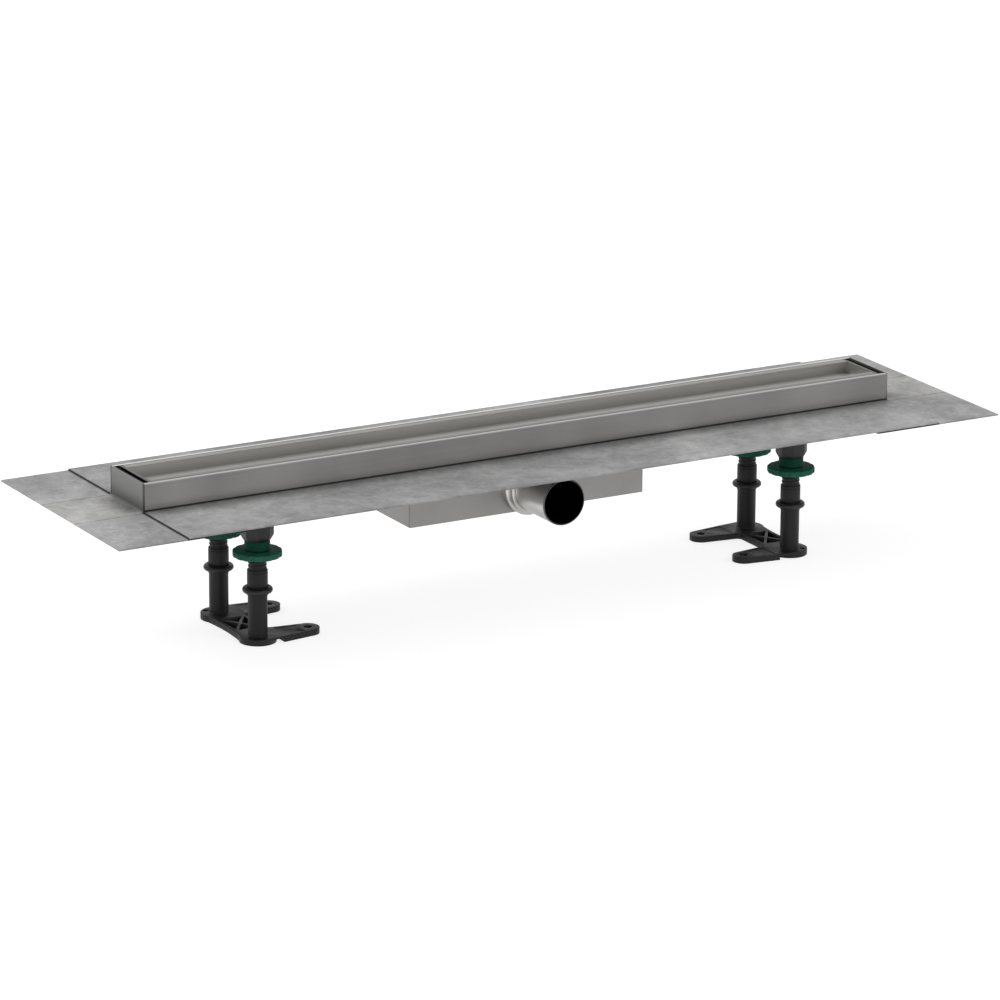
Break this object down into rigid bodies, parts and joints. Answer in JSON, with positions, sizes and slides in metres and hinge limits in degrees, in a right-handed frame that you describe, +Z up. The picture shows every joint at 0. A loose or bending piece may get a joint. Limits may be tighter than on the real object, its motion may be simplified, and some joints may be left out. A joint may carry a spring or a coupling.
{
  "type": "linear shower drain",
  "caption": "Linear shower drain: folded steel channel with a recessed cover tray and wide sealing flanges, a box trap with a side outlet, and plastic feet set in height by ring nuts.",
  "frame": {"origin": "on the floor under the middle of the channel", "axes": "+X along the channel to the right, -Y the way the outlet points, +Z up"},
  "size_m": [1.054, 0.2804, 0.1845],
  "materials": {
    "brushed_steel": "fine lengthways grain",
    "pickled_steel": "dull and cloudy, pickled",
    "satin_steel": "satin",
    "black_plastic": "moulded, slightly satin",
    "green_plastic": "moulded, slightly satin",
    "rubber": "smooth"
  },
  "bodies": {
    "drain": {"channel_body": "brushed_steel", "left_end_cap": "pickled_steel", "right_end_cap": "pickled_steel", "front_flange": "pickled_steel", "rear_flange": "pickled_steel", "left_front_corner_plate": "pickled_steel", "left_rear_corner_plate": "pickled_steel", "right_front_corner_plate": "pickled_steel", "right_rear_corner_plate": "pickled_steel", "tray": "brushed_steel", "tray_rest_1": "brushed_steel", "tray_rest_2": "brushed_steel", "tray_rest_3": "brushed_steel", "tray_rest_4": "brushed_steel", "trap_box": "satin_steel", "dip_tube": "black_plastic", "trap_seal": "rubber", "trap_cup": "black_plastic", "hair_strainer": "satin_steel", "outlet_collar": "satin_steel", "outlet_seal": "rubber", "outlet_pipe": "satin_steel", "left_bracket": "pickled_steel", "right_bracket": "pickled_steel", "left_front_head": "black_plastic", "left_rear_head": "black_plastic", "right_front_head": "black_plastic", "right_rear_head": "black_plastic"},
    "left_front_nut": {"left_front_nut": "green_plastic"},
    "left_rear_nut": {"left_rear_nut": "green_plastic"},
    "left_foot": {"left_foot_base": "black_plastic", "left_front_spindle": "black_plastic", "left_front_sleeve": "black_plastic", "left_front_damper": "rubber", "left_rear_spindle": "black_plastic", "left_rear_sleeve": "black_plastic", "left_rear_damper": "rubber"},
    "right_front_nut": {"right_front_nut": "green_plastic"},
    "right_rear_nut": {"right_rear_nut": "green_plastic"},
    "right_foot": {"right_foot_base": "black_plastic", "right_front_spindle": "black_plastic", "right_front_sleeve": "black_plastic", "right_front_damper": "rubber", "right_rear_spindle": "black_plastic", "right_rear_sleeve": "black_plastic", "right_rear_damper": "rubber"}
  },
  "joints": [
    {"name": "left_front_nut_turn", "type": "hinge", "parent": "drain", "child": "left_front_nut", "pos_m": [-0.324, -0.0445, 0.101], "axis": [0, 0, 1], "range_deg": [-900, 2700]},
    {"name": "left_rear_nut_turn", "type": "hinge", "parent": "drain", "child": "left_rear_nut", "pos_m": [-0.324, 0.0445, 0.101], "axis": [0, 0, 1], "range_deg": [-900, 2700]},
    {"name": "left_foot_height", "type": "slide", "parent": "drain", "child": "left_foot", "axis": [0, 0, 1], "range_m": [-0.03, 0.01]},
    {"name": "right_front_nut_turn", "type": "hinge", "parent": "drain", "child": "right_front_nut", "pos_m": [0.324, -0.0445, 0.101], "axis": [0, 0, 1], "range_deg": [-900, 2700]},
    {"name": "right_rear_nut_turn", "type": "hinge", "parent": "drain", "child": "right_rear_nut", "pos_m": [0.324, 0.0445, 0.101], "axis": [0, 0, 1], "range_deg": [-900, 2700]},
    {"name": "right_foot_height", "type": "slide", "parent": "drain", "child": "right_foot", "axis": [0, 0, 1], "range_m": [-0.03, 0.01]}
  ],
  "couplings": [
    {"joint": "left_front_nut_turn", "follows": "left_foot_height", "rad_per_m": -1570.8},
    {"joint": "left_rear_nut_turn", "follows": "left_foot_height", "rad_per_m": -1570.8},
    {"joint": "right_front_nut_turn", "follows": "right_foot_height", "rad_per_m": -1570.8},
    {"joint": "right_rear_nut_turn", "follows": "right_foot_height", "rad_per_m": -1570.8}
  ]
}
